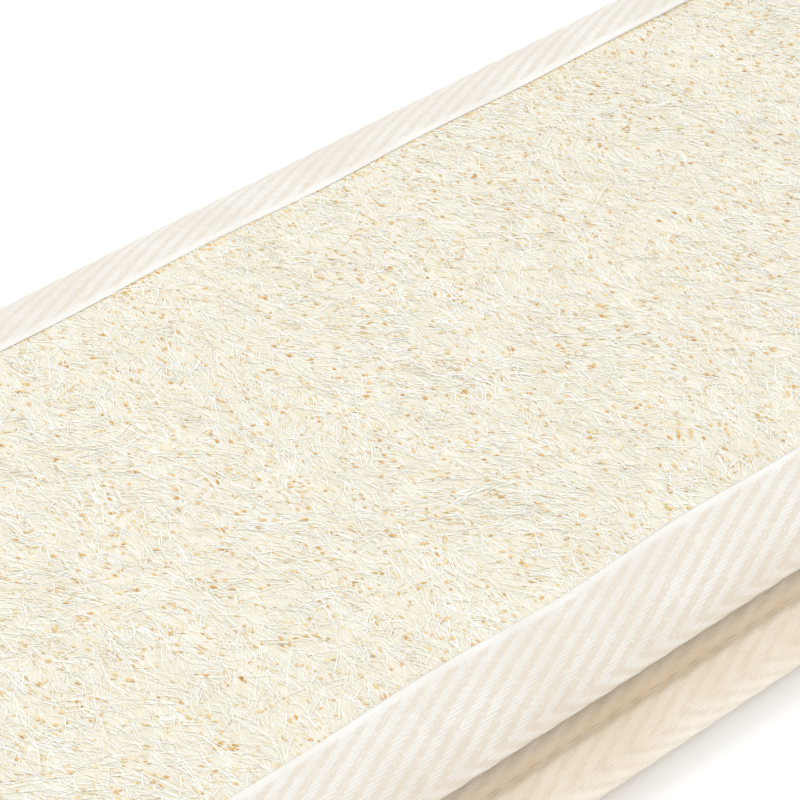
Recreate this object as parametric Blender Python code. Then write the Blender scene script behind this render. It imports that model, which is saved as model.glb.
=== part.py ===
"""A loofah back scrubber: a flat, padded bath strap with a webbing hand loop at each end.

Metres, +Z up. The strap lies on the plane z = 0 with its loofah face up, runs along X and is centred
on the origin. In section it is two bound pads, one on the other: a loofah face pad above, and a
slightly wider cotton back pad below. Both are edged with folded binding tape. The two pads are sewn
together, with the webbing tails of the hand loops between them.

The strap is modelled as two halves that meet at a fold across its middle. The fold's axis runs along
Y just above the loofah face. Each hand loop swings about an axis along Y, just outside its sewn lap.
"""

import math

import bmesh
import bpy
from mathutils import Matrix, Vector
from mathutils.geometry import interpolate_bezier

MM = 0.001

# Driving dimensions, in metres.
STRAP_LENGTH = 600 * MM
LOOFAH_WIDTH = 80 * MM  # the loofah that shows between the two face tapes
TAPE_FLAT = 8.2 * MM  # the flat leg of a folded tape
TAPE_THICKNESS = 0.8 * MM
FACE_PAD_THICKNESS = 6.4 * MM
BACK_PAD_THICKNESS = 7.8 * MM
BACK_PAD_STEP = 5.1 * MM  # how far the back pad's tape sits outside the face pad's
PAD_GAP = 2.2 * MM
WEBBING_WIDTH = 38 * MM
WEBBING_THICKNESS = 1.5 * MM
TAIL_SEWN_IN = 45 * MM  # the webbing that is held between the pads
TAIL_LAP = 25 * MM  # the sewn lap that shows outside them
LAP_SETBACK = 1.5 * MM  # the lap's upper ply starts this far outside the pads
HINGE_SETBACK = 2.6 * MM  # the loop's hinge is this far past the lap
LOOFAH_THICKNESS = 3.5 * MM
CLOTH_THICKNESS = 0.9 * MM
LOOP_HEIGHT = 24 * MM  # from the hinge to the top of the loop's webbing
LOOP_LENGTH = 92 * MM  # from the hinge to the far end of the loop's webbing
CLEARANCE = 0.3 * MM  # between pieces that touch

# Worked out from the driving dimensions.
HALF_LENGTH = STRAP_LENGTH / 2
FOLD_GAP = CLEARANCE / 2
FACE_BOTTOM = BACK_PAD_THICKNESS + PAD_GAP
FACE_TOP = FACE_BOTTOM + FACE_PAD_THICKNESS
FACE_TAPE_INNER = LOOFAH_WIDTH / 2 + CLEARANCE
FACE_ROLL_Y = FACE_TAPE_INNER + TAPE_FLAT
BACK_ROLL_Y = FACE_ROLL_Y + BACK_PAD_STEP
BACK_TAPE_INNER = BACK_ROLL_Y - TAPE_FLAT
FACE_ROLL_RADIUS = FACE_PAD_THICKNESS / 2
BACK_ROLL_RADIUS = BACK_PAD_THICKNESS / 2

ARC_STEPS = 10
BEZIER_STEPS = 9
TIP_STEPS = 5

MATERIALS = {
    "loofah": ((0.90, 0.84, 0.70), 0.90),
    "tape": ((0.86, 0.83, 0.78), 0.85),
    "lining": ((0.84, 0.80, 0.72), 0.90),
    "interlining": ((0.78, 0.76, 0.72), 0.80),
    "foam": ((0.82, 0.79, 0.62), 0.95),
    "back_cloth": ((0.85, 0.82, 0.76), 0.95),
    "webbing": ((0.84, 0.80, 0.72), 0.80),
}


def clear_scene():
    for item in list(bpy.data.objects):
        bpy.data.objects.remove(item)


def make_materials():
    made = {}
    for name, (colour, roughness) in MATERIALS.items():
        material = bpy.data.materials.new(name)
        material.use_nodes = True
        shader = material.node_tree.nodes["Principled BSDF"]
        shader.inputs["Base Color"].default_value = (*colour, 1.0)
        shader.inputs["Roughness"].default_value = roughness
        shader.inputs["Metallic"].default_value = 0.0
        made[name] = material
    return made


def add_object(name, shape, material):
    """An object from a bmesh, with one material."""
    bmesh.ops.recalc_face_normals(shape, faces=shape.faces)
    mesh = bpy.data.meshes.new(name)
    shape.to_mesh(mesh)
    shape.free()
    mesh.materials.append(material)
    made = bpy.data.objects.new(name, mesh)
    bpy.context.collection.objects.link(made)
    return made


def prism(name, outline, low, high, material):
    """A closed outline of (y, z) points, extruded along X from low to high."""
    shape = bmesh.new()
    corners = [shape.verts.new((low, y, z)) for y, z in outline]
    cap = shape.faces.new(corners)
    grown = bmesh.ops.extrude_face_region(shape, geom=[cap])["geom"]
    moved = [item for item in grown if isinstance(item, bmesh.types.BMVert)]
    bmesh.ops.translate(shape, vec=(high - low, 0, 0), verts=moved)
    return add_object(name, shape, material)


def slab_outline(half_width, low, high):
    return [(-half_width, low), (half_width, low), (half_width, high), (-half_width, high)]


def folded_tape_outline(inner, roll, low, high):
    """The C of a tape folded round an edge at -Y, whose flat legs end at y = -inner."""
    middle = (low + high) / 2
    radius = (high - low) / 2
    turns = [math.pi / 2 + math.pi * i / ARC_STEPS for i in range(ARC_STEPS + 1)]
    outside = [(radius * math.cos(a) - roll, middle + radius * math.sin(a)) for a in turns]
    thin = radius - TAPE_THICKNESS
    inside = [(thin * math.cos(a) - roll, middle + thin * math.sin(a)) for a in reversed(turns)]
    bottom_leg = [(-inner, low), (-inner, low + TAPE_THICKNESS)]
    top_leg = [(-inner, high - TAPE_THICKNESS), (-inner, high)]
    return outside + bottom_leg + inside + top_leg


def mirrored(outline):
    return [(-y, z) for y, z in outline]


def boolean_union(base, extra):
    """Joins a second solid to a first one, and hides the second."""
    modifier = base.modifiers.new("join", "BOOLEAN")
    modifier.operation = "UNION"
    modifier.solver = "EXACT"
    modifier.object = extra
    extra.hide_render = True
    extra.display_type = "WIRE"


def stepped_slab(name, span, widths, levels, material):
    """A slab with a raised middle. span, widths and levels each give the full slab and the middle."""
    base = prism(name, slab_outline(widths[0], *levels[0]), *span[0], material)
    middle = prism(name + "_middle", slab_outline(widths[1], *levels[1]), *span[1], material)
    boolean_union(base, middle)
    return base


def reach(side, near, far):
    """The X interval from near to far of the middle, on the left (-1) or the right (1)."""
    return (near, far) if side > 0 else (-far, -near)


def pad_edges(names, inner, roll, low, high, side, material):
    """The near, far and end tapes of one half of a pad."""
    outline = folded_tape_outline(inner, roll, low, high)
    run = reach(side, FOLD_GAP, HALF_LENGTH)
    prism(names[0], outline, *run, material)
    prism(names[1], mirrored(outline), *run, material)
    length = inner - CLEARANCE
    radius = (high - low) / 2
    end_roll = HALF_LENGTH - radius
    end_outline = folded_tape_outline(end_roll - TAPE_FLAT, end_roll, low, high)
    end = prism(names[2], end_outline, -length, length, material)
    end.rotation_euler.z = side * math.pi / 2


def face_pad(word, side, materials):
    """The loofah, its lining and its three tapes."""
    under_tape = FACE_TOP - TAPE_THICKNESS - CLEARANCE
    loofah_bottom = FACE_TOP - LOOFAH_THICKNESS
    lining_top = loofah_bottom - CLEARANCE
    lining_bottom = FACE_BOTTOM + TAPE_THICKNESS + CLEARANCE
    full = reach(side, FOLD_GAP, HALF_LENGTH - FACE_ROLL_RADIUS)
    shown = reach(side, FOLD_GAP, HALF_LENGTH - FACE_ROLL_RADIUS - TAPE_FLAT - CLEARANCE)
    stepped_slab(
        "loofah_pad_" + word,
        (full, shown),
        (FACE_ROLL_Y, LOOFAH_WIDTH / 2),
        ((loofah_bottom, under_tape), (loofah_bottom, FACE_TOP)),
        materials["loofah"],
    )
    lining = slab_outline(FACE_ROLL_Y, lining_bottom, lining_top)
    prism("face_lining_" + word, lining, *full, materials["lining"])
    names = ["face_tape_near_" + word, "face_tape_far_" + word, "face_end_tape_" + word]
    pad_edges(names, FACE_TAPE_INNER, FACE_ROLL_Y, FACE_BOTTOM, FACE_TOP, side, materials["tape"])


def back_pad(word, side, materials):
    """The back cloth, the foam, the inner cloth and the three tapes of the lower pad."""
    top = BACK_PAD_THICKNESS
    full = reach(side, FOLD_GAP, HALF_LENGTH - BACK_ROLL_RADIUS)
    shown = reach(side, FOLD_GAP, HALF_LENGTH - BACK_ROLL_RADIUS - TAPE_FLAT - CLEARANCE)
    shown_half = BACK_TAPE_INNER - CLEARANCE
    above_tape = TAPE_THICKNESS + CLEARANCE
    cloth_top = above_tape + CLOTH_THICKNESS
    inner_top = top - TAPE_THICKNESS - CLEARANCE
    inner_bottom = inner_top - CLOTH_THICKNESS
    stepped_slab(
        "back_cloth_" + word,
        (full, shown),
        (BACK_ROLL_Y, shown_half),
        ((above_tape, cloth_top), (0.0, cloth_top)),
        materials["back_cloth"],
    )
    foam = slab_outline(BACK_ROLL_Y, cloth_top + CLEARANCE, inner_bottom - CLEARANCE)
    prism("foam_core_" + word, foam, *full, materials["foam"])
    inner = slab_outline(BACK_ROLL_Y, inner_bottom, inner_top)
    prism("inner_cloth_" + word, inner, *full, materials["lining"])
    names = ["back_tape_near_" + word, "back_tape_far_" + word, "back_end_tape_" + word]
    pad_edges(names, BACK_TAPE_INNER, BACK_ROLL_Y, 0.0, top, side, materials["tape"])


def interlining(word, side, materials):
    """The firm sheet between the two pads, which stops short of the webbing tail."""
    low = BACK_PAD_THICKNESS + CLEARANCE
    high = FACE_BOTTOM - CLEARANCE
    run = reach(side, FOLD_GAP, HALF_LENGTH - TAIL_SEWN_IN - CLEARANCE)
    outline = slab_outline(FACE_ROLL_Y, low, high)
    prism("interlining_" + word, outline, *run, materials["interlining"])


def handle_tail(word, side, materials):
    """The webbing tail between the pads, with the second ply of the sewn lap on it outside them."""
    middle = BACK_PAD_THICKNESS + PAD_GAP / 2
    low = middle - WEBBING_THICKNESS / 2
    high = middle + WEBBING_THICKNESS / 2
    inner = HALF_LENGTH - TAIL_SEWN_IN
    outer = HALF_LENGTH + TAIL_LAP
    stepped_slab(
        "handle_tail_" + word,
        (reach(side, inner, outer), reach(side, HALF_LENGTH + LAP_SETBACK, outer)),
        (WEBBING_WIDTH / 2, WEBBING_WIDTH / 2),
        ((low, high), (low, high + WEBBING_THICKNESS)),
        materials["webbing"],
    )


def loop_centreline():
    """The closed teardrop that the webbing follows, in X and Z, about its hinge point."""
    leg = 0.9 * MM  # each leg leaves the hinge this far above or below it
    hinge_height = loop_hinge().z
    top = Vector((0.7 * LOOP_LENGTH, 0, LOOP_HEIGHT))
    end = Vector((LOOP_LENGTH, 0, LOOP_HEIGHT / 3))
    floor = Vector((0.72 * LOOP_LENGTH, 0, WEBBING_THICKNESS / 2 - hinge_height))
    upper = Vector((0, 0, leg))
    lower = Vector((0, 0, -leg))
    along = Vector((1, 0, 0)) * MM
    up = Vector((0, 0, 1)) * MM
    pieces = [
        (upper, upper + 22 * along, top - 30 * along, top),
        (top, top + 16 * along, end + 9 * up, end),
        (end, end - 9 * up, floor + 14 * along, floor),
        (floor, floor - 30 * along, lower + 22 * along, lower),
    ]
    points = []
    for start, handle_a, handle_b, stop in pieces:
        points += interpolate_bezier(start, handle_a, handle_b, stop, BEZIER_STEPS)[:-1]
    turns = [-math.pi / 2 - math.pi * i / TIP_STEPS for i in range(TIP_STEPS)]
    points += [Vector((leg * math.cos(a), 0, leg * math.sin(a))) for a in turns]
    return points


def loop_hinge():
    """The hinge point of the right-hand loop: the middle of the two plies, just past the lap."""
    low_ply = BACK_PAD_THICKNESS + PAD_GAP / 2
    return Vector((HALF_LENGTH + TAIL_LAP + HINGE_SETBACK, 0, low_ply + WEBBING_THICKNESS / 2))


def handle_loop(word, side, materials):
    """One hand loop: a band of webbing, with its origin on its hinge axis."""
    centre = loop_centreline()
    count = len(centre)
    rings = []
    shape = bmesh.new()
    for i, point in enumerate(centre):
        along = (centre[(i + 1) % count] - centre[i - 1]).normalized()
        normal = Vector((-along.z, 0, along.x)) * WEBBING_THICKNESS / 2
        across = Vector((0, WEBBING_WIDTH / 2, 0))
        corners = [
            point + normal + across,
            point + normal - across,
            point - normal - across,
            point - normal + across,
        ]
        rings.append([shape.verts.new(corner) for corner in corners])
    for i in range(count):
        here, there = rings[i], rings[(i + 1) % count]
        for k in range(4):
            other = (k + 1) % 4
            shape.faces.new((here[k], here[other], there[other], there[k]))
    if side < 0:
        bmesh.ops.transform(shape, matrix=Matrix.Diagonal((-1, 1, 1, 1)), verts=shape.verts)
    made = add_object("handle_loop_" + word, shape, materials["webbing"])
    hinge = loop_hinge()
    made.location = (side * hinge.x, 0, hinge.z)
    for face in made.data.polygons:
        face.use_smooth = True
    made.data.set_sharp_from_angle(angle=math.radians(40))


def main():
    clear_scene()
    materials = make_materials()
    for word, side in (("left", -1), ("right", 1)):
        face_pad(word, side, materials)
        interlining(word, side, materials)
        back_pad(word, side, materials)
        handle_tail(word, side, materials)
        handle_loop(word, side, materials)


main()
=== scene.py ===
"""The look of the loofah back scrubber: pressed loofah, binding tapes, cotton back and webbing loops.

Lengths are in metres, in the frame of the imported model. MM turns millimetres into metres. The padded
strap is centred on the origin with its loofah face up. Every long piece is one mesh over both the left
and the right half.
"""

import math

import bpy
import numpy as np
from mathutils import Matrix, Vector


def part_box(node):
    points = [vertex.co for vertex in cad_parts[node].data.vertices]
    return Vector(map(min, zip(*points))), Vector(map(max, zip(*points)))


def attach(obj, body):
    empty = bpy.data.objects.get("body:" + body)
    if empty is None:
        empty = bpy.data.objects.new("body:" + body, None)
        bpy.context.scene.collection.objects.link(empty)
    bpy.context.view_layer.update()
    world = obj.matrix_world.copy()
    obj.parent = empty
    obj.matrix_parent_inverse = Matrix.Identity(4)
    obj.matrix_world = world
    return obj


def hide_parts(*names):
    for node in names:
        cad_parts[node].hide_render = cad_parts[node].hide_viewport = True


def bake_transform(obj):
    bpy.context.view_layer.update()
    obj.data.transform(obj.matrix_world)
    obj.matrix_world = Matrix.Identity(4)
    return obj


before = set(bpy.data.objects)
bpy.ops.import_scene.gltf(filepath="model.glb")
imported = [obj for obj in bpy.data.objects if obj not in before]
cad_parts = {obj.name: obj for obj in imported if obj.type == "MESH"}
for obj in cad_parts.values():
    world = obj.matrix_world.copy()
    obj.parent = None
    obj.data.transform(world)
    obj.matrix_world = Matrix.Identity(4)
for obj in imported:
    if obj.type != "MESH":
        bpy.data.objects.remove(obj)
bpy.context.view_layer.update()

MM = 0.001
HALVES = ("left", "right")

# The strap, read from the CAD nodes.
PAD_LOW, PAD_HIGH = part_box("face_tape_far_right")
HALF_LENGTH = PAD_HIGH[0]
SELVEDGE_Y = PAD_LOW[1]  # where the loofah meets the tape
FACE_TOP = PAD_HIGH[2]
TAIL_LOW, TAIL_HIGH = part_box("handle_tail_right")
LOOP_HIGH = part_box("handle_loop_right")[1]

# Herringbone tape: warp yarns run along it, and each floats over three wefts in five.
YARN = 0.40 * MM
WEFT = 0.92 * MM
TWILL = 5
FLOAT_SHARE = 0.6
SELVEDGE_WIDTH = 1.5 * MM
YARN_RELIEF = 0.15 * MM
TAPE_MIDDLE = 12.4 * MM  # where the ribs turn back

# Profiles of the two folded tapes: (distance outside the selvedge line, height), in millimetres.
FACE_PROFILE = [
    (0, 16.5), (3, 16.5), (6, 16.05), (8.6, 14.9), (10.6, 13.3), (11.5, 11.6), (11.1, 10.1),
    (9.6, 9.3), (7, 9.1), (3, 9.2),
]
BACK_PROFILE = [
    (5, 8.5), (9, 8.55), (11.4, 8.4), (12.6, 7.75), (13.9, 7.9), (15.7, 7.1), (17.1, 5.6),
    (17.5, 3.9), (17.1, 2.1), (16.0, 0.75), (14.2, 0.05), (11, 0.0), (6.5, 0.0),
]
STITCH_OUT = 12.6 * MM  # the sewn groove of the lower tape
STITCH_HEIGHT = 7.77 * MM
CORNER_RADIUS = 2.5 * MM
FACE_LIP = 11.5 * MM
BACK_LIP = 17.5 * MM

FIBRES = 105000
FLECKS = 26000
LOOSE_FIBRES = 400


def steps(low, high, size):
    return np.linspace(low, high, max(2, int(round((high - low) / size)) + 1))


def field(seed, scale, modes=36):
    """A smooth random function of x and y, about 1 in size, that varies over about scale metres."""
    source = np.random.default_rng(seed)
    angle = source.uniform(0, 2 * math.pi, modes)
    wave = source.uniform(0.5, 1.5, modes) * 2 * math.pi / scale
    kx, ky = wave * np.cos(angle), wave * np.sin(angle)
    shift = source.uniform(0, 2 * math.pi, modes)

    def value(x, y):
        x, y = np.broadcast_arrays(np.asarray(x, float), np.asarray(y, float))
        total = np.zeros(x.shape)
        for k in range(modes):
            total += np.cos(kx[k] * x + ky[k] * y + shift[k])
        return total * math.sqrt(2 / modes)

    return value


def build(name, points, faces, uv=None, attributes=(), smooth=True, slots=None):
    """A mesh object from arrays: points (n, 3), faces as lists of arrays (m, 3), (m, 4) or one n-gon."""
    corners = [np.asarray(f, np.int32) for f in faces]
    sizes = np.concatenate([np.full(len(f), f.shape[1], np.int32) for f in corners])
    index = np.concatenate([f.ravel() for f in corners])
    starts = np.concatenate([[0], np.cumsum(sizes)[:-1]]).astype(np.int32)
    mesh = bpy.data.meshes.new(name)
    mesh.vertices.add(len(points))
    mesh.vertices.foreach_set("co", np.asarray(points, np.float32).ravel())
    mesh.loops.add(len(index))
    mesh.loops.foreach_set("vertex_index", index)
    mesh.polygons.add(len(sizes))
    mesh.polygons.foreach_set("loop_start", starts)
    if slots is not None:
        mesh.polygons.foreach_set("material_index", np.asarray(slots, np.int32))
    mesh.update(calc_edges=True)
    if uv is not None:
        layer = mesh.uv_layers.new(name="weave")
        layer.data.foreach_set("uv", np.asarray(uv, np.float32)[index].ravel())
    for key, values in attributes:
        attribute = mesh.attributes.new(key, "FLOAT", "POINT")
        attribute.data.foreach_set("value", np.asarray(values, np.float32).ravel())
    mesh.polygons.foreach_set("use_smooth", np.full(len(sizes), smooth))
    made = bpy.data.objects.new(name, mesh)
    bpy.context.collection.objects.link(made)
    return made


def grid_faces(rows, columns, close_rows=False, close_columns=False, flip=False):
    """Quads over a grid of points, numbered row by row."""
    i = np.arange(rows if close_rows else rows - 1)[:, None]
    j = np.arange(columns if close_columns else columns - 1)[None, :]
    i2, j2 = (i + 1) % rows, (j + 1) % columns
    quads = np.stack(
        [i * columns + j, i2 * columns + j, i2 * columns + j2, i * columns + j2], -1
    ).reshape(-1, 4)
    return quads[:, ::-1] if flip else quads


def smooth_path(points, size):
    """Points on a smooth curve through (n, 2) points, about size apart, and their distances along it."""
    points = np.asarray(points, float)
    padded = np.vstack([2 * points[0] - points[1], points, 2 * points[-1] - points[-2]])
    fine = []
    for a, b, c, d in zip(padded, padded[1:], padded[2:], padded[3:]):
        t = np.linspace(0, 1, 40, endpoint=False)[:, None]
        curve = 2 * b + (c - a) * t + (2 * a - 5 * b + 4 * c - d) * t**2
        fine.append((curve + (3 * b - a - 3 * c + d) * t**3) / 2)
    fine = np.vstack(fine + [points[-1:]])
    along = np.concatenate([[0], np.cumsum(np.linalg.norm(np.diff(fine, axis=0), axis=1))])
    count = int(along[-1] / size / 2) * 2
    at = np.arange(count + 1) * size
    return np.stack([np.interp(at, along, fine[:, k]) for k in (0, 1)], 1), at


def left_normals(path):
    """Unit normals of a 2-D path, on its left."""
    along = np.gradient(path, axis=0)
    along /= np.linalg.norm(along, axis=1)[:, None]
    return np.stack([-along[:, 1], along[:, 0]], 1)


# Materials


def new_material(name, roughness, sheen=0.0):
    material = bpy.data.materials.new(name)
    material.use_nodes = True
    tree = material.node_tree
    shader = tree.nodes["Principled BSDF"]
    shader.inputs["Roughness"].default_value = roughness
    shader.inputs["Specular IOR Level"].default_value = 0.25
    shader.inputs["Sheen Weight"].default_value = sheen
    shader.inputs["Sheen Roughness"].default_value = 0.6
    return material, tree, shader


def add_node(tree, kind, settings=(), inputs=()):
    made = tree.nodes.new(kind)
    for key, value in settings:
        setattr(made, key, value)
    for key, value in inputs:
        if isinstance(value, bpy.types.NodeSocket):
            tree.links.new(value, made.inputs[key])
        else:
            made.inputs[key].default_value = value
    return made


def noise(tree, vector, scale, detail=3.0, distortion=0.0):
    made = add_node(
        tree,
        "ShaderNodeTexNoise",
        inputs=[("Vector", vector), ("Scale", scale), ("Detail", detail), ("Distortion", distortion)],
    )
    return made.outputs["Fac"]


def remap(tree, value, low, high, to_low=0.0, to_high=1.0):
    made = add_node(
        tree,
        "ShaderNodeMapRange",
        settings=[("interpolation_type", "SMOOTHSTEP")],
        inputs=[("Value", value), ("From Min", low), ("From Max", high), ("To Min", to_low)],
    )
    made.inputs["To Max"].default_value = to_high
    return made.outputs["Result"]


def blend_colours(tree, factor, a, b):
    made = tree.nodes.new("ShaderNodeMix")
    made.data_type = "RGBA"
    for socket, value in ((made.inputs[0], factor), (made.inputs[6], a), (made.inputs[7], b)):
        if isinstance(value, bpy.types.NodeSocket):
            tree.links.new(value, socket)
        elif isinstance(value, tuple):
            socket.default_value = (*value, 1.0)
        else:
            socket.default_value = value
    return made.outputs[2]


def bump(tree, shader, height, strength, distance):
    made = add_node(
        tree,
        "ShaderNodeBump",
        inputs=[("Height", height), ("Strength", strength), ("Distance", distance)],
    )
    tree.links.new(made.outputs["Normal"], shader.inputs["Normal"])


def attribute(tree, name):
    return add_node(tree, "ShaderNodeAttribute", settings=[("attribute_name", name)]).outputs["Fac"]


def stretched(tree, vector, scale):
    made = add_node(tree, "ShaderNodeMapping", inputs=[("Vector", vector), ("Scale", scale)])
    return made.outputs["Vector"]


def cotton_material(name, light, dark, hollow_shade, relief=0.35):
    """Undyed cotton yarn: uneven cream with loose fuzz, and warm painted shade in the yarn hollows and
    at marked folds.
    """
    material, tree, shader = new_material(name, 0.88, sheen=0.25)
    weave = add_node(tree, "ShaderNodeUVMap", settings=[("uv_map", "weave")]).outputs["UV"]
    mottle = noise(tree, weave, 90.0, 4.0)
    slub = noise(tree, stretched(tree, weave, (350.0, 2600.0, 1.0)), 1.0, 2.0)
    mixed = blend_colours(tree, remap(tree, mottle, 0.35, 0.65), light, dark)
    mixed = blend_colours(tree, remap(tree, slub, 0.5, 0.75, 0.0, 0.35), mixed, dark)
    # Painted shade: where the yarn relief is low, the colour goes towards the hollow colour.
    hollow_shade_share = remap(tree, attribute(tree, "depth"), 0.0, 0.55, 0.85, 0.0)
    mixed = blend_colours(tree, hollow_shade_share, mixed, hollow_shade)
    # Painted shade: a warm tan along the bands that the mesh marks, at a tape's lip and in its sewn
    # groove.
    crease_shade = attribute(tree, "crease_shade")
    mixed = blend_colours(tree, crease_shade, mixed, (0.62, 0.46, 0.28))
    tree.links.new(mixed, shader.inputs["Base Color"])
    fuzz = noise(tree, stretched(tree, weave, (1500.0, 7000.0, 1.0)), 1.0, 3.0, 0.6)
    bump(tree, shader, fuzz, relief, 0.12 * MM)
    tree.links.new(remap(tree, mottle, 0.2, 0.8, 0.8, 0.95), shader.inputs["Roughness"])
    return material


def loofah_base_material():
    """The pressed mat under the loose fibres: pale streaks over golden pores."""
    material, tree, shader = new_material("loofah_mat", 0.75)
    place = add_node(tree, "ShaderNodeUVMap", settings=[("uv_map", "weave")]).outputs["UV"]
    swirl = add_node(
        tree, "ShaderNodeTexNoise", inputs=[("Vector", place), ("Scale", 70.0), ("Detail", 2.0)]
    ).outputs["Color"]
    shift = add_node(
        tree,
        "ShaderNodeVectorMath",
        settings=[("operation", "SCALE")],
        inputs=[(0, swirl), ("Scale", 0.012)],
    ).outputs["Vector"]
    bent = add_node(
        tree, "ShaderNodeVectorMath", settings=[("operation", "ADD")], inputs=[(0, place), (1, shift)]
    ).outputs["Vector"]
    streak = noise(tree, stretched(tree, bent, (5200.0, 520.0, 1.0)), 1.0, 3.0, 0.4)
    clusters = noise(tree, place, 260.0, 3.0)
    pores = add_node(
        tree,
        "ShaderNodeTexVoronoi",
        inputs=[("Vector", stretched(tree, bent, (900.0, 480.0, 1.0))), ("Scale", 1.0)],
    ).outputs["Distance"]
    pale = blend_colours(tree, remap(tree, streak, 0.35, 0.65), (0.80, 0.74, 0.56), (0.87, 0.84, 0.74))
    open_here = add_node(
        tree,
        "ShaderNodeMath",
        settings=[("operation", "MULTIPLY")],
        inputs=[(0, remap(tree, pores, 0.30, 0.10)), (1, remap(tree, clusters, 0.42, 0.62))],
    ).outputs[0]
    gold = blend_colours(tree, remap(tree, clusters, 0.5, 0.7), (0.78, 0.53, 0.24), (0.60, 0.31, 0.08))
    tree.links.new(blend_colours(tree, open_here, pale, gold), shader.inputs["Base Color"])
    bump(tree, shader, streak, 0.6, 0.25 * MM)
    return material


def fibre_material(name, colour, other):
    """A loofah fibre: one of two close colours along its length, and slightly glossy."""
    material, tree, shader = new_material(name, 0.55)
    place = add_node(tree, "ShaderNodeTexCoord").outputs["Object"]
    patch = noise(tree, place, 220.0, 2.0)
    mixed = blend_colours(tree, remap(tree, patch, 0.4, 0.6), colour, other)
    tree.links.new(mixed, shader.inputs["Base Color"])
    return material


def layer_material(name, light, dark, grain, relief):
    """A plain cloth, felt or foam layer, seen only at its edges."""
    material, tree, shader = new_material(name, 0.9, sheen=0.1)
    place = add_node(tree, "ShaderNodeTexCoord").outputs["Object"]
    speck = noise(tree, place, grain, 4.0)
    tree.links.new(blend_colours(tree, speck, light, dark), shader.inputs["Base Color"])
    bump(tree, shader, speck, 0.6, relief)
    return material


def terry_material():
    """Undyed cotton towelling: cream loops, with warm painted shade at their roots between them."""
    material, tree, shader = new_material("towelling", 0.95, sheen=0.4)
    place = add_node(tree, "ShaderNodeTexCoord").outputs["Object"]
    loops = add_node(
        tree,
        "ShaderNodeTexVoronoi",
        inputs=[("Vector", place), ("Scale", 900.0), ("Randomness", 0.8)],
    ).outputs["Distance"]
    twist = noise(tree, place, 2600.0, 2.0, 1.0)
    # Painted shade: warmer and darker between the loops, where their relief is low.
    mixed = blend_colours(tree, remap(tree, loops, 0.25, 0.75), (0.90, 0.87, 0.80), (0.72, 0.64, 0.50))
    mixed = blend_colours(tree, remap(tree, twist, 0.5, 0.8, 0.0, 0.3), mixed, (0.80, 0.73, 0.60))
    tree.links.new(mixed, shader.inputs["Base Color"])
    height = add_node(
        tree, "ShaderNodeMath", settings=[("operation", "SUBTRACT")], inputs=[(0, twist), (1, loops)]
    ).outputs[0]
    bump(tree, shader, height, 0.8, 0.5 * MM)
    return material


# The binding tapes


def perimeter(half_length, half_width, size):
    """Points round a rounded rectangle, anticlockwise, their outward normals, and distances along."""
    radius = CORNER_RADIUS
    points, normals = [], []
    corners = [(1, -1, -90), (1, 1, 0), (-1, 1, 90), (-1, -1, 180)]
    arc_steps = 40
    ends = []
    for sx, sy, start in corners:
        centre = np.array([sx * (half_length - radius), sy * (half_width - radius)])
        turn = np.radians(start + np.linspace(0, 90, arc_steps))
        out = np.stack([np.cos(turn), np.sin(turn)], 1)
        ends.append((centre + radius * out, out))
    for k, (arc, out) in enumerate(ends):
        before_arc, before_out = ends[k - 1]
        run = steps(0.0, float(np.linalg.norm(arc[0] - before_arc[-1])), size)[1:-1, None]
        share = run / np.linalg.norm(arc[0] - before_arc[-1])
        points += [before_arc[-1] + share * (arc[0] - before_arc[-1]), arc]
        normals += [np.repeat(before_out[-1:], len(run), 0), out]
    points, normals = np.vstack(points), np.vstack(normals)
    middle_out = points + normals * 5 * MM
    gaps = np.linalg.norm(np.roll(middle_out, -1, 0) - middle_out, axis=1)
    along = np.concatenate([[0], np.cumsum(gaps)])
    return points, normals, along[:-1], along[-1]


def herringbone(along, across, middle):
    """Relief from 0 to 1 of the twill at each place along and across a tape."""
    column = np.floor(across / YARN + 1e-6).astype(int)
    centre = int(middle / YARN)
    mirrored = np.where(column < centre, column, 2 * centre - 1 - column)
    turn = along / (TWILL * WEFT) + mirrored / TWILL
    phase = turn % 1.0
    uneven = np.sin(np.floor(turn) * 12.9898 + mirrored * 78.233 + column * 3.7) * 43758.5453 % 1.0
    up = (0.70 + 0.30 * uneven) * np.sin(np.pi * np.clip(phase / FLOAT_SHARE, 0, 1)) ** 0.6
    weft = 0.30 * uneven * np.abs(np.cos(np.pi * along / WEFT))
    return np.where(phase < FLOAT_SHARE, up, weft)


def tape_relief(along, across):
    """Relief from 0 to 1 over a tape, and 1 in its plain selvedge strip, falling to 0 in the twill."""
    relief = herringbone(along, across, TAPE_MIDDLE)
    between = np.arange(across.shape[1]) % 2 == 0
    relief = np.where(between[None, :], 0.12 * relief, relief)
    plain = np.clip((SELVEDGE_WIDTH - across) / (1.1 * MM), 0, 1)
    fine = 0.22 * np.abs(np.sin(np.pi * along / WEFT + np.pi * np.floor(across / YARN)))
    return relief * (1 - plain) + fine * plain, plain


def tape_outside(base, out, outline, across, lift, seed):
    """Points of a tape's woven side, whose selvedge wanders and sags a little."""
    normals = left_normals(outline)
    wander = field(seed, 45 * MM)(base[:, 0], base[:, 1])[:, None]
    sag = field(seed + 1, 60 * MM)(base[:, 0], base[:, 1])[:, None]
    distance = outline[None, :, 0] + 0.22 * MM * wander * np.exp(-across / (5 * MM))[None, :]
    height = outline[None, :, 1] + 0.10 * MM * sag * np.exp(-across / (9 * MM))[None, :]
    reach = distance + lift * normals[None, :, 0]
    points = np.empty((*lift.shape, 3))
    points[..., :2] = base[:, None, :] + out[:, None, :] * reach[..., None]
    points[..., 2] = np.maximum(height + lift * normals[None, :, 1], 0.02 * MM)
    return points


def tape_inside(base, out, outline, picked):
    """Points of a tape's hidden side, at the picked places of its outline."""
    inner = outline[picked] - left_normals(outline)[picked] * 0.7 * MM
    points = np.empty((len(base), len(picked), 3))
    points[..., :2] = base[:, None, :] + out[:, None, :] * inner[None, :, 0, None]
    points[..., 2] = inner[None, :, 1]
    return points


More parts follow.
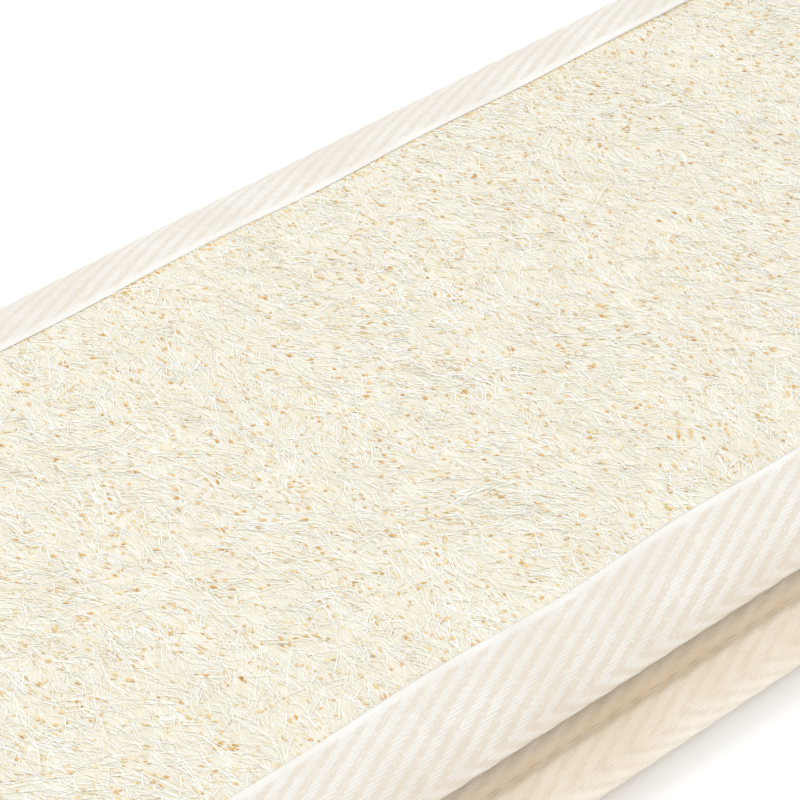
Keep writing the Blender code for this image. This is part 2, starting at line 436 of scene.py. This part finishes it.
def tape(name, profile, half_length, material, nodes, contrast, shade_bands, seed):
    """One folded binding tape all round a pad, as a closed band with a woven and a hidden side."""
    outline, across = smooth_path(np.array(profile) * MM, YARN / 2)
    base, out, along, total = perimeter(half_length, SELVEDGE_Y, WEFT / 2)
    turns = round(total / (TWILL * WEFT))
    u = along * (turns * TWILL * WEFT / total)
    U, S = np.meshgrid(u, across, indexing="ij")
    relief, plain = tape_relief(U, S)
    rolled = 1 - 0.5 * np.clip(across / (11 * MM) - 0.7, 0, 1)[None, :]
    lift = (relief - 0.5) * YARN_RELIEF * contrast * rolled
    outside = tape_outside(base, out, outline, across, lift, seed)
    picked = np.arange(len(across) - 1, -1, -6)
    points = np.concatenate([outside, tape_inside(base, out, outline, picked)], 1)
    rows, columns = points.shape[:2]
    woven = len(across)
    uv = np.zeros((rows, columns, 2))
    uv[:, :woven, 0], uv[:, :woven, 1] = U, S
    uv[:, woven:, 0] = u[:, None]
    uv[:, woven:, 1] = across[picked][None, :]
    depth, crease_shade = np.ones((rows, columns)), np.zeros((rows, columns))
    speckle = np.random.default_rng(seed).normal(0, 0.09, relief.shape)
    depth[:, :woven] = 1 - contrast * (1 - np.clip(relief + 0.55 * plain + speckle, 0, 1))
    # Bands of painted shade across the tape, each centred at a distance along its profile.
    for centre, width, amount in shade_bands:
        crease_shade[:, :woven] += amount * np.exp(-(((S - centre) / width) ** 2))
    piece = build(
        name,
        points.reshape(-1, 3),
        [grid_faces(rows, columns, True, True, flip=True)],
        uv.reshape(-1, 2),
        [("depth", depth), ("crease_shade", crease_shade)],
    )
    piece.data.materials.append(material)
    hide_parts(*nodes)
    across_fold(piece)


def across_fold(piece):
    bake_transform(piece)


def both(*names):
    return [f"{name}_{half}" for name in names for half in HALVES]


# The loofah

CROWN = 0.45 * MM
CROWN_RUN = 13 * MM
PAD_EDGE_HEIGHT = FACE_TOP - 0.15 * MM
END_SELVEDGE = HALF_LENGTH - FACE_LIP

slow_lumps = field(11, 26 * MM)
quick_lumps = field(12, 6 * MM)


def loofah_height(x, y):
    """The top of the pressed mat."""
    inside = np.minimum(SELVEDGE_Y - np.abs(y), END_SELVEDGE - np.abs(x))
    t = np.clip(inside / CROWN_RUN, 0, 1)
    crown = CROWN * t * (2 - t)
    return PAD_EDGE_HEIGHT + crown + t * (0.22 * MM * slow_lumps(x, y) + 0.08 * MM * quick_lumps(x, y))


def loofah_mat():
    """The closed slab under the fibres, whose rim is tucked under the tape."""
    rim = 3 * MM
    x = steps(-END_SELVEDGE - rim, END_SELVEDGE + rim, 1.1 * MM)
    y = steps(-SELVEDGE_Y - rim, SELVEDGE_Y + rim, 1.0 * MM)
    X, Y = np.meshgrid(x, y, indexing="ij")
    tucked = np.maximum(np.abs(X) - END_SELVEDGE, np.abs(Y) - SELVEDGE_Y)
    top = loofah_height(X, Y) - 0.35 * np.clip(tucked, 0, None)
    bottom = np.full(X.shape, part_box("loofah_pad_right")[0][2])
    points = np.concatenate([np.stack([X, Y, top], -1), np.stack([X, Y, bottom], -1)])
    rows, columns = X.shape
    upper = grid_faces(rows, columns)
    lower = grid_faces(rows, columns, flip=True) + rows * columns
    edge = np.concatenate(
        [
            np.arange(rows) * columns,
            (rows - 1) * columns + np.arange(1, columns),
            np.arange(rows - 2, -1, -1) * columns + columns - 1,
            np.arange(columns - 2, 0, -1),
        ]
    )
    after = np.roll(edge, -1)
    wall = np.stack([edge, edge + rows * columns, after + rows * columns, after], -1)
    piece = build(
        "loofah_mat",
        points.reshape(-1, 3),
        [upper, lower, wall],
        points.reshape(-1, 3)[:, :2],
    )
    piece.data.materials.append(loofah_base_material())
    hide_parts(*both("loofah_pad"))
    across_fold(piece)


def flow_angle(x, y):
    """The way that the fibres run at a place: mostly across the strap, in slow swirls."""
    mean = math.radians(-80)
    return mean + 0.20 * field(21, 34 * MM)(x, y) + 0.16 * field(22, 7 * MM)(x, y)


def ribbons(source, count, length, width, rise, sink, scatter, rows, rim=0.0):
    """Points (count, rows, 2, 3) of curved flat fibres that dive into the mat at both ends."""
    x = source.uniform(-END_SELVEDGE, END_SELVEDGE, count)
    y = source.uniform(-SELVEDGE_Y, SELVEDGE_Y, count)
    # A share rim of the fibres goes in a line just inside the +Y selvedge: painted shade where the
    # loofah meets the tape.
    beside = SELVEDGE_Y + 0.2 * MM - np.abs(source.normal(0, 0.35 * MM, count))
    y = np.where(source.random(count) < rim, beside, y)
    long = source.uniform(*length, count)
    wide = source.uniform(*width, count)
    heading = flow_angle(x, y) + source.normal(0, scatter, count)
    curl = source.normal(0, 0.45, count)
    t = np.linspace(-0.5, 0.5, rows)
    turn = heading[:, None] + curl[:, None] * t[None, :]
    step_length = long[:, None] / (rows - 1)
    px = np.cumsum(np.cos(turn) * step_length, axis=1)
    py = np.cumsum(np.sin(turn) * step_length, axis=1)
    px = x[:, None] + px - px[:, rows // 2][:, None]
    py = y[:, None] + py - py[:, rows // 2][:, None]
    px = np.clip(px, -END_SELVEDGE - 1 * MM, END_SELVEDGE + 1 * MM)
    py = np.clip(py, -SELVEDGE_Y - 1 * MM, SELVEDGE_Y + 1 * MM)
    arch = 1 - (2 * t) ** 2
    lift = source.uniform(*rise, count)[:, None] * arch[None, :] - sink * (1 - arch)[None, :]
    edge = np.minimum(SELVEDGE_Y - np.abs(py), END_SELVEDGE - np.abs(px))
    lift = lift * np.clip(edge / (1.5 * MM) + 0.3, 0.0, 1)
    pz = loofah_height(px, py) + lift
    tilt = source.normal(0, 0.14, count)[:, None]
    taper = 0.35 + 0.65 * np.sqrt(np.clip(arch, 0, 1))
    half = wide[:, None] / 2 * taper[None, :]
    level = np.cos(tilt)
    side = np.stack([-np.sin(turn) * level, np.cos(turn) * level, np.sin(tilt) + 0 * turn], -1)
    centre = np.stack([px, py, pz], -1)
    offset = side * half[..., None]
    return np.stack([centre - offset, centre + offset], 2)


def ribbon_faces(count, rows, start):
    first = start + np.arange(count)[:, None] * rows * 2 + np.arange(rows - 1)[None, :] * 2
    return np.stack([first, first + 1, first + 3, first + 2], -1).reshape(-1, 4)


def loofah_fibres():
    """The pale fibres over the mat, with golden flecks where a gap shows the deeper ones, and a line of
    flecks along the +Y selvedge as painted shade where the loofah meets the tape.
    """
    source = np.random.default_rng(7)
    count = FIBRES
    pressed = dict(
        count=count,
        length=(2 * MM, 6 * MM),
        width=(0.08 * MM, 0.16 * MM),
        rise=(0.01 * MM, 0.17 * MM),
        sink=0.08 * MM,
        scatter=0.5,
        rows=5,
    )
    flecks = dict(
        count=FLECKS,
        length=(0.3 * MM, 1.2 * MM),
        width=(0.15 * MM, 0.50 * MM),
        rise=(0.07 * MM, 0.18 * MM),
        sink=0.0,
        scatter=0.5,
        rows=3,
        # Flecks in a line along the +Y selvedge, as painted shade where the loofah meets the tape.
        rim=0.07,
    )
    loose = dict(
        count=LOOSE_FIBRES,
        length=(6 * MM, 13 * MM),
        width=(0.07 * MM, 0.11 * MM),
        rise=(0.4 * MM, 1.2 * MM),
        sink=0.1 * MM,
        scatter=0.8,
        rows=7,
    )
    points, faces, slots, start = [], [], [], 0
    for kind in (pressed, flecks, loose):
        made = ribbons(source, **kind)
        number, rows = made.shape[:2]
        points.append(made.reshape(-1, 3))
        faces.append(ribbon_faces(number, rows, start))
        if kind is flecks:
            own = 3 + source.choice(3, number, p=(0.48, 0.36, 0.16))
        else:
            own = source.choice(3, number, p=(0.60, 0.32, 0.08))
        slots.append(np.repeat(own, rows - 1))
        start += number * rows * 2
    piece = build("loofah_fibres", np.concatenate(points), faces, slots=np.concatenate(slots))
    palette = [
        ("fibre_white", (0.95, 0.95, 0.91), (0.92, 0.91, 0.85)),
        ("fibre_cream", (0.92, 0.90, 0.80), (0.90, 0.87, 0.75)),
        ("fibre_straw", (0.88, 0.82, 0.64), (0.90, 0.86, 0.72)),
        ("fleck_straw", (0.84, 0.70, 0.42), (0.86, 0.76, 0.52)),
        ("fleck_gold", (0.80, 0.56, 0.25), (0.82, 0.62, 0.32)),
        ("fleck_amber", (0.68, 0.38, 0.11), (0.76, 0.48, 0.18)),
    ]
    for name, colour, other in palette:
        piece.data.materials.append(fibre_material(name, colour, other))
    across_fold(piece)


# The layers inside, and the back cloth


def slab(name, half_length, half_width, low, high, step, top_relief=None, under_relief=None):
    """A closed slab with rounded rims, as a ring of points swept along X, and closed at both ends."""
    x = steps(-half_length, half_length, step)
    y = steps(-half_width, half_width, step)
    rise = (high - low) / 2
    turn = np.linspace(-math.pi / 2, math.pi / 2, 7)[1:-1]
    right = np.stack([half_width + rise * np.cos(turn), (low + high) / 2 + rise * np.sin(turn)], 1)
    left = np.stack([-right[::-1, 0], right[::-1, 1]], 1)
    under = np.stack([y, np.full(len(y), low)], 1)
    over = np.stack([y[::-1], np.full(len(y), high)], 1)
    ring = np.concatenate([under, right, over, left])
    points = np.empty((len(x), len(ring), 3))
    points[..., 0] = x[:, None]
    points[..., 1:] = ring[None]
    X, Y = points[..., 0], points[..., 1]
    if under_relief is not None:
        points[:, 1 : len(y) - 1, 2] += under_relief(X, Y)[:, 1 : len(y) - 1]
    if top_relief is not None:
        top = slice(len(y) + 6, 2 * len(y) + 4)
        points[:, top, 2] += top_relief(X, Y)[:, top]
    rows, columns = len(x), len(ring)
    caps = [np.arange(columns)[None, :], (rows - 1) * columns + np.arange(columns)[None, ::-1]]
    flat = points.reshape(-1, 3)
    return build(name, flat, [grid_faces(rows, columns, False, True, flip=True), *caps], flat[:, :2])


TUCK = 3 * MM  # keeps the square corners inside the tapes' round ones


def inner_layers():
    """The lining, interlining, inner cloth and foam, which show only where the pads part."""
    kinds = [
        ("face_lining", "lining", (0.88, 0.85, 0.78), (0.80, 0.75, 0.66), 2400.0, 0.1 * MM),
        ("interlining", "interlining", (0.80, 0.77, 0.71), (0.72, 0.68, 0.60), 1500.0, 0.15 * MM),
        ("inner_cloth", "lining", (0.88, 0.85, 0.78), (0.78, 0.72, 0.62), 2400.0, 0.1 * MM),
        ("foam_core", "foam", (0.88, 0.86, 0.72), (0.80, 0.76, 0.58), 3200.0, 0.2 * MM),
    ]
    for node, slot, light, dark, grain, relief in kinds:
        low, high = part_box(node + "_right")
        rise = (high[2] - low[2]) / 2
        ripple = field(len(node), 18 * MM)
        piece = slab(
            node,
            high[0] - rise - TUCK,
            high[1] - rise - TUCK,
            low[2],
            high[2],
            4 * MM,
            top_relief=lambda x, y, ripple=ripple: -0.06 * MM * np.abs(ripple(x, y)),
        )
        piece.data.materials.append(layer_material(node, light, dark, grain, relief))
        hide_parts(*both(node))
        across_fold(piece)


def back_cloth():
    """The towelling underside, with its loops standing down to the surface."""
    low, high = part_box("back_cloth_right")
    nap = field(31, 2.6 * MM)
    slow = field(32, 22 * MM)

    def loops(x, y):
        edge = np.minimum(SELVEDGE_Y + 5 * MM - np.abs(y), HALF_LENGTH - 13 * MM - np.abs(x))
        near = np.clip(edge / (3 * MM), 0, 1)
        return (1 - near) * 0.8 * MM + near * MM * (0.16 + 0.10 * nap(x, y) + 0.04 * slow(x, y))

    rise = (high[2] - low[2]) / 2
    piece = slab(
        "back_cloth",
        HALF_LENGTH - 8 * MM,
        SELVEDGE_Y + 9 * MM,
        low[2],
        high[2],
        1.1 * MM,
        under_relief=lambda x, y: np.maximum(loops(x, y), 0.01 * MM),
    )
    piece.data.materials.append(terry_material())
    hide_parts(*both("back_cloth"))
    across_fold(piece)


# Stitches


def stitches(name, starts, ends, ups, radius, material, body=None):
    """A row of sewn stitches: each a short thread that dives into the cloth at both ends."""
    starts, ends, ups = (np.asarray(v, float) for v in (starts, ends, ups))
    rows, sides = 7, 6
    t = np.linspace(0, 1, rows)
    along = ends - starts
    long = np.linalg.norm(along, axis=1, keepdims=True)
    along = along / long
    side = np.cross(ups, along)
    arch = np.sin(np.pi * t) ** 0.5
    centre = starts[:, None] + (ends - starts)[:, None] * t[None, :, None]
    centre = centre + ups[:, None] * ((arch - 0.75) * radius * 1.5)[None, :, None]
    ring = np.arange(sides) * 2 * math.pi / sides
    thick = radius * (0.55 + 0.45 * arch)
    points = (
        centre[:, :, None]
        + ups[:, None, None] * (np.sin(ring)[None, None, :, None] * thick[None, :, None, None])
        + side[:, None, None] * (np.cos(ring)[None, None, :, None] * thick[None, :, None, None])
    )
    count = len(starts)
    first = np.arange(count)[:, None] * rows * sides
    tube = grid_faces(rows, sides, False, True, flip=True).reshape(1, -1)
    quads = (first + tube).reshape(-1, 4)
    near_cap = (first + np.arange(sides)[None, :]).reshape(-1, sides)
    far_cap = (first + (rows - 1) * sides + np.arange(sides)[None, ::-1]).reshape(-1, sides)
    flat = points.reshape(-1, 3)
    along_uv = np.tile(np.repeat(t * 3 * MM, sides), count)
    round_uv = np.tile(np.tile(ring * radius, rows), count)
    depth = np.ones(len(flat))
    piece = build(
        name,
        flat,
        [quads, near_cap, far_cap],
        np.stack([along_uv, round_uv], 1),
        [("depth", depth), ("crease_shade", depth * 0)],
    )
    piece.data.materials.append(material)
    if body:
        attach(piece, body)
    else:
        across_fold(piece)
    return piece


def groove_stitches(material):
    """The seam that sews the pads together, down in the lower tape's groove."""
    pitch = 3.2 * MM
    base, out, along, total = perimeter(HALF_LENGTH - BACK_LIP, SELVEDGE_Y, 0.8 * MM)
    count = int(total / pitch)
    line = np.concatenate([base + out * STITCH_OUT, base[:1] + out[:1] * STITCH_OUT])
    at = np.concatenate([along, [total]])
    places = np.arange(count) * total / count
    ends = places + 0.78 * total / count
    point = [np.stack([np.interp(v, at, line[:, k]) for k in (0, 1)], 1) for v in (places, ends)]
    starts, stops = (np.column_stack([p, np.full(count, STITCH_HEIGHT)]) for p in point)
    ups = np.tile([0.0, 0.0, 1.0], (count, 1))
    stitches("seam_thread", starts, stops, ups, 0.09 * MM, material)


# The webbing loops

WEBBING_THICKNESS = TAIL_HIGH[2] - (TAIL_LOW[2] + TAIL_HIGH[2]) / 2
WEBBING_HALF = TAIL_HIGH[1]
LOWER_PLY = TAIL_LOW[2] + WEBBING_THICKNESS / 2
UPPER_PLY = TAIL_HIGH[2] - WEBBING_THICKNESS / 2
RIB = 1.55 * MM


def webbing_path():
    """The webbing's centreline in X and Z: out of the pads, round the loop and back onto the lap."""
    far = LOOP_HIGH[0] - WEBBING_THICKNESS / 2
    top = LOOP_HIGH[2] - WEBBING_THICKNESS / 2
    floor = WEBBING_THICKNESS / 2
    lap_end = TAIL_HIGH[0]
    return np.array(
        [
            (TAIL_LOW[0], LOWER_PLY),
            (TAIL_LOW[0] + 24 * MM, LOWER_PLY),
            (lap_end - 14 * MM, LOWER_PLY),
            (lap_end, LOWER_PLY),
            (lap_end + 12 * MM, 7.2 * MM),
            (lap_end + 30 * MM, 3.0 * MM),
            (lap_end + 50 * MM, floor + 0.15 * MM),
            (far - 27 * MM, floor),
            (far - 12 * MM, 3.0 * MM),
            (far - 2.5 * MM, 10.0 * MM),
            (far, 18.5 * MM),
            (far - 6 * MM, 27.0 * MM),
            (far - 19 * MM, top - 0.8 * MM),
            (far - 33 * MM, top - 0.6 * MM),
            (far - 52 * MM, 26.0 * MM),
            (lap_end + 24 * MM, 17.2 * MM),
            (lap_end + 11 * MM, 12.4 * MM),
            (lap_end, UPPER_PLY),
            (lap_end - 12 * MM, UPPER_PLY),
            (HALF_LENGTH + 1.5 * MM, UPPER_PLY),
        ]
    )


def webbing_weave(along, across):
    """Relief from 0 to 1 of ribbed webbing: cords along it, pinched by a weft in turn."""
    cord = np.floor(across / RIB)
    dome = np.abs(np.sin(np.pi * across / RIB)) ** 0.7
    pinch = 0.62 + 0.38 * np.sin(2 * np.pi * (along / (1.7 * MM) + 0.5 * (cord % 2)))
    return dome * pinch


def webbing(half, side, material, thread):
    path, along = smooth_path(webbing_path(), 0.5 * MM)
    normal = left_normals(path)
    y = steps(-WEBBING_HALF + 0.5 * MM, WEBBING_HALF - 0.5 * MM, RIB / 4)
    turn = np.linspace(-math.pi / 2, math.pi / 2, 7)[1:-1]
    rim = np.stack([y[-1] + 0.5 * MM * np.cos(turn), np.sin(turn)], 1)
    ring_y = np.concatenate([y, rim[:, 0], y[::-1], -rim[::-1, 0]])
    ring_n = np.concatenate([-np.ones(len(y)), rim[:, 1], np.ones(len(y)), rim[::-1, 1]])
    U, V = np.meshgrid(along, ring_y, indexing="ij")
    relief = webbing_weave(U, V + WEBBING_HALF)
    relief = np.where(np.abs(ring_n)[None, :] < 1, 0.5, relief)
    half_thick = WEBBING_THICKNESS / 2 - 0.26 * MM + 0.24 * MM * relief
    offset = ring_n[None, :] * half_thick
    points = np.empty((*U.shape, 3))
    points[..., 0] = side * (path[:, 0, None] + normal[:, 0, None] * offset)
    points[..., 1] = V
    points[..., 2] = np.maximum(path[:, 1, None] + normal[:, 1, None] * offset, 0.02 * MM)
    rows, columns = U.shape
    caps = [np.arange(columns)[None, ::-1], (rows - 1) * columns + np.arange(columns)[None, :]]
    if side < 0:
        caps = [cap[:, ::-1] for cap in caps]
    piece = build(
        "webbing_" + half,
        points.reshape(-1, 3),
        [grid_faces(rows, columns, False, True, flip=side < 0), *caps],
        np.stack([U, V], -1).reshape(-1, 2),
        [("depth", relief), ("crease_shade", relief * 0)],
    )
    piece.data.materials.append(material)
    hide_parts("handle_tail_" + half, "handle_loop_" + half)
    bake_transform(piece)
    box_stitch(half, side, thread)


def box_stitch(half, side, thread):
    """A sewn box with a cross in it, on the lap."""
    low_x, high_x = HALF_LENGTH + 4.5 * MM, TAIL_HIGH[0] - 3 * MM
    wide = WEBBING_HALF - 4.5 * MM
    corners = [(low_x, -wide), (high_x, -wide), (high_x, wide), (low_x, wide), (low_x, -wide)]
    lines = list(zip(corners, corners[1:])) + [(corners[0], corners[2]), (corners[1], corners[3])]
    starts, ends = [], []
    for a, b in lines:
        a, b = np.array(a), np.array(b)
        count = max(2, int(np.linalg.norm(b - a) / (2.6 * MM)))
        for k in range(count):
            starts.append(a + (b - a) * (k + 0.1) / count)
            ends.append(a + (b - a) * (k + 0.88) / count)
    for level, up in ((TAIL_HIGH[2] - 0.02 * MM, 1.0), (TAIL_LOW[2] + 0.02 * MM, -1.0)):
        name = f"lap_thread_{'top' if up > 0 else 'under'}_{half}"
        tall = np.full(len(starts), level)
        first = np.column_stack([np.array(starts) * [side, 1], tall])
        last = np.column_stack([np.array(ends) * [side, 1], tall])
        ups = np.tile([0.0, 0.0, up], (len(starts), 1))
        stitches(name, first, last, ups, 0.26 * MM, thread, half + "_half")


# The room

AIM = (0.130, -0.0011, 0.0164)
VIEW_ANGLE = math.radians(47.81)  # the way the camera looks, from the strap's length
ELEVATION = math.radians(38.0)
DISTANCE = 0.4354
LENS_MM = 158.2


def camera():
    data = bpy.data.cameras.new("camera")
    data.lens = LENS_MM
    data.sensor_width = 36.0
    data.clip_start = 0.01
    eye = bpy.data.objects.new("camera", data)
    bpy.context.collection.objects.link(eye)
    flat = math.cos(ELEVATION) * DISTANCE
    eye.location = (
        AIM[0] - flat * math.cos(VIEW_ANGLE),
        AIM[1] - flat * math.sin(VIEW_ANGLE),
        AIM[2] + DISTANCE * math.sin(ELEVATION),
    )
    eye.rotation_euler = (math.pi / 2 - ELEVATION, 0, VIEW_ANGLE - math.pi / 2)
    bpy.context.scene.camera = eye


def floor():
    size = 20.0
    corners = [(-size, -size, 0), (size, -size, 0), (size, size, 0), (-size, size, 0)]
    piece = build("floor", np.array(corners), [np.array([[0, 1, 2, 3]])], smooth=False)
    material, tree, shader = new_material("floor", 0.9)
    place = add_node(tree, "ShaderNodeTexCoord").outputs["Object"]
    cloudy = noise(tree, place, 3.0, 2.0)
    mixed = blend_colours(tree, cloudy, (0.97, 0.97, 0.97), (0.98, 0.98, 0.98))
    tree.links.new(mixed, shader.inputs["Base Color"])
    piece.data.materials.append(material)


def light(name, place, aim, size, power):
    data = bpy.data.lights.new(name, "AREA")
    data.shape = "SQUARE"
    data.size = size
    data.energy = power
    lamp = bpy.data.objects.new(name, data)
    bpy.context.collection.objects.link(lamp)
    lamp.location = place
    away = lamp.location.copy()
    away -= type(away)(aim)
    lamp.rotation_euler = away.to_track_quat("Z", "Y").to_euler()


def room():
    floor()
    light("key", (-0.4, 0.9, 1.5), (0.1, 0, 0), 1.2, 11.5)
    light("fill", (0.5, -1.3, 0.45), (0.1, 0, 0), 1.2, 5.0)
    world = bpy.data.worlds.new("studio")
    world.use_nodes = True
    sky = world.node_tree.nodes["Background"]
    sky.inputs["Color"].default_value = (1.0, 1.0, 1.0, 1.0)
    sky.inputs["Strength"].default_value = 0.85
    bpy.context.scene.world = world
    bpy.context.scene.view_settings.view_transform = "Standard"
    camera()


def both_tapes():
    """The face tape, with warm painted shade at its lip, and the wider back tape, with warm painted
    shade in its sewn groove and on the bulge just below it.
    """
    light, dark = (0.87, 0.86, 0.82), (0.82, 0.79, 0.73)
    material = cotton_material("tape_cotton", light, dark, (0.70, 0.62, 0.51))
    names = both("face_tape_near", "face_tape_far", "face_end_tape")
    # Painted shade along the lip, where the face tape turns under.
    lip_shade = [(13.2 * MM, 3.2 * MM, 0.17)]
    tape("face_binding", FACE_PROFILE, HALF_LENGTH - FACE_LIP, material, names, 0.9, lip_shade, 3)
    # This cream is the tape's own tone, made warmer than the face tape's as painted shade for its place
    # under the face tape's lip.
    light, dark = (0.89, 0.84, 0.75), (0.84, 0.77, 0.65)
    material = cotton_material("back_cotton", light, dark, (0.64, 0.53, 0.39))
    names = both("back_tape_near", "back_tape_far", "back_end_tape")
    # Painted shade in the sewn groove under the face tape's lip, and on the bulge just below it.
    groove_shade = [(7.2 * MM, 1.3 * MM, 0.55), (10.5 * MM, 3.4 * MM, 0.36)]
    tape("back_binding", BACK_PROFILE, HALF_LENGTH - BACK_LIP, material, names, 0.75, groove_shade, 5)


def both_webbings():
    light, dark = (0.89, 0.86, 0.79), (0.83, 0.78, 0.69)
    # The third colour is painted shade, mixed in between the webbing's cords where its relief is low.
    material = cotton_material("webbing_cotton", light, dark, (0.62, 0.53, 0.41))
    light, dark = (0.93, 0.92, 0.88), (0.86, 0.83, 0.76)
    thread = cotton_material("thread", light, dark, (0.70, 0.62, 0.50), 0.2)
    for half, side in (("left", -1), ("right", 1)):
        webbing(half, side, material, thread)


def main():
    room()
    both_tapes()
    loofah_mat()
    loofah_fibres()
    inner_layers()
    back_cloth()
    light, dark = (0.74, 0.63, 0.48), (0.70, 0.58, 0.42)
    groove_stitches(cotton_material("seam_cotton", light, dark, (0.5, 0.4, 0.3), 0.2))
    both_webbings()


main()
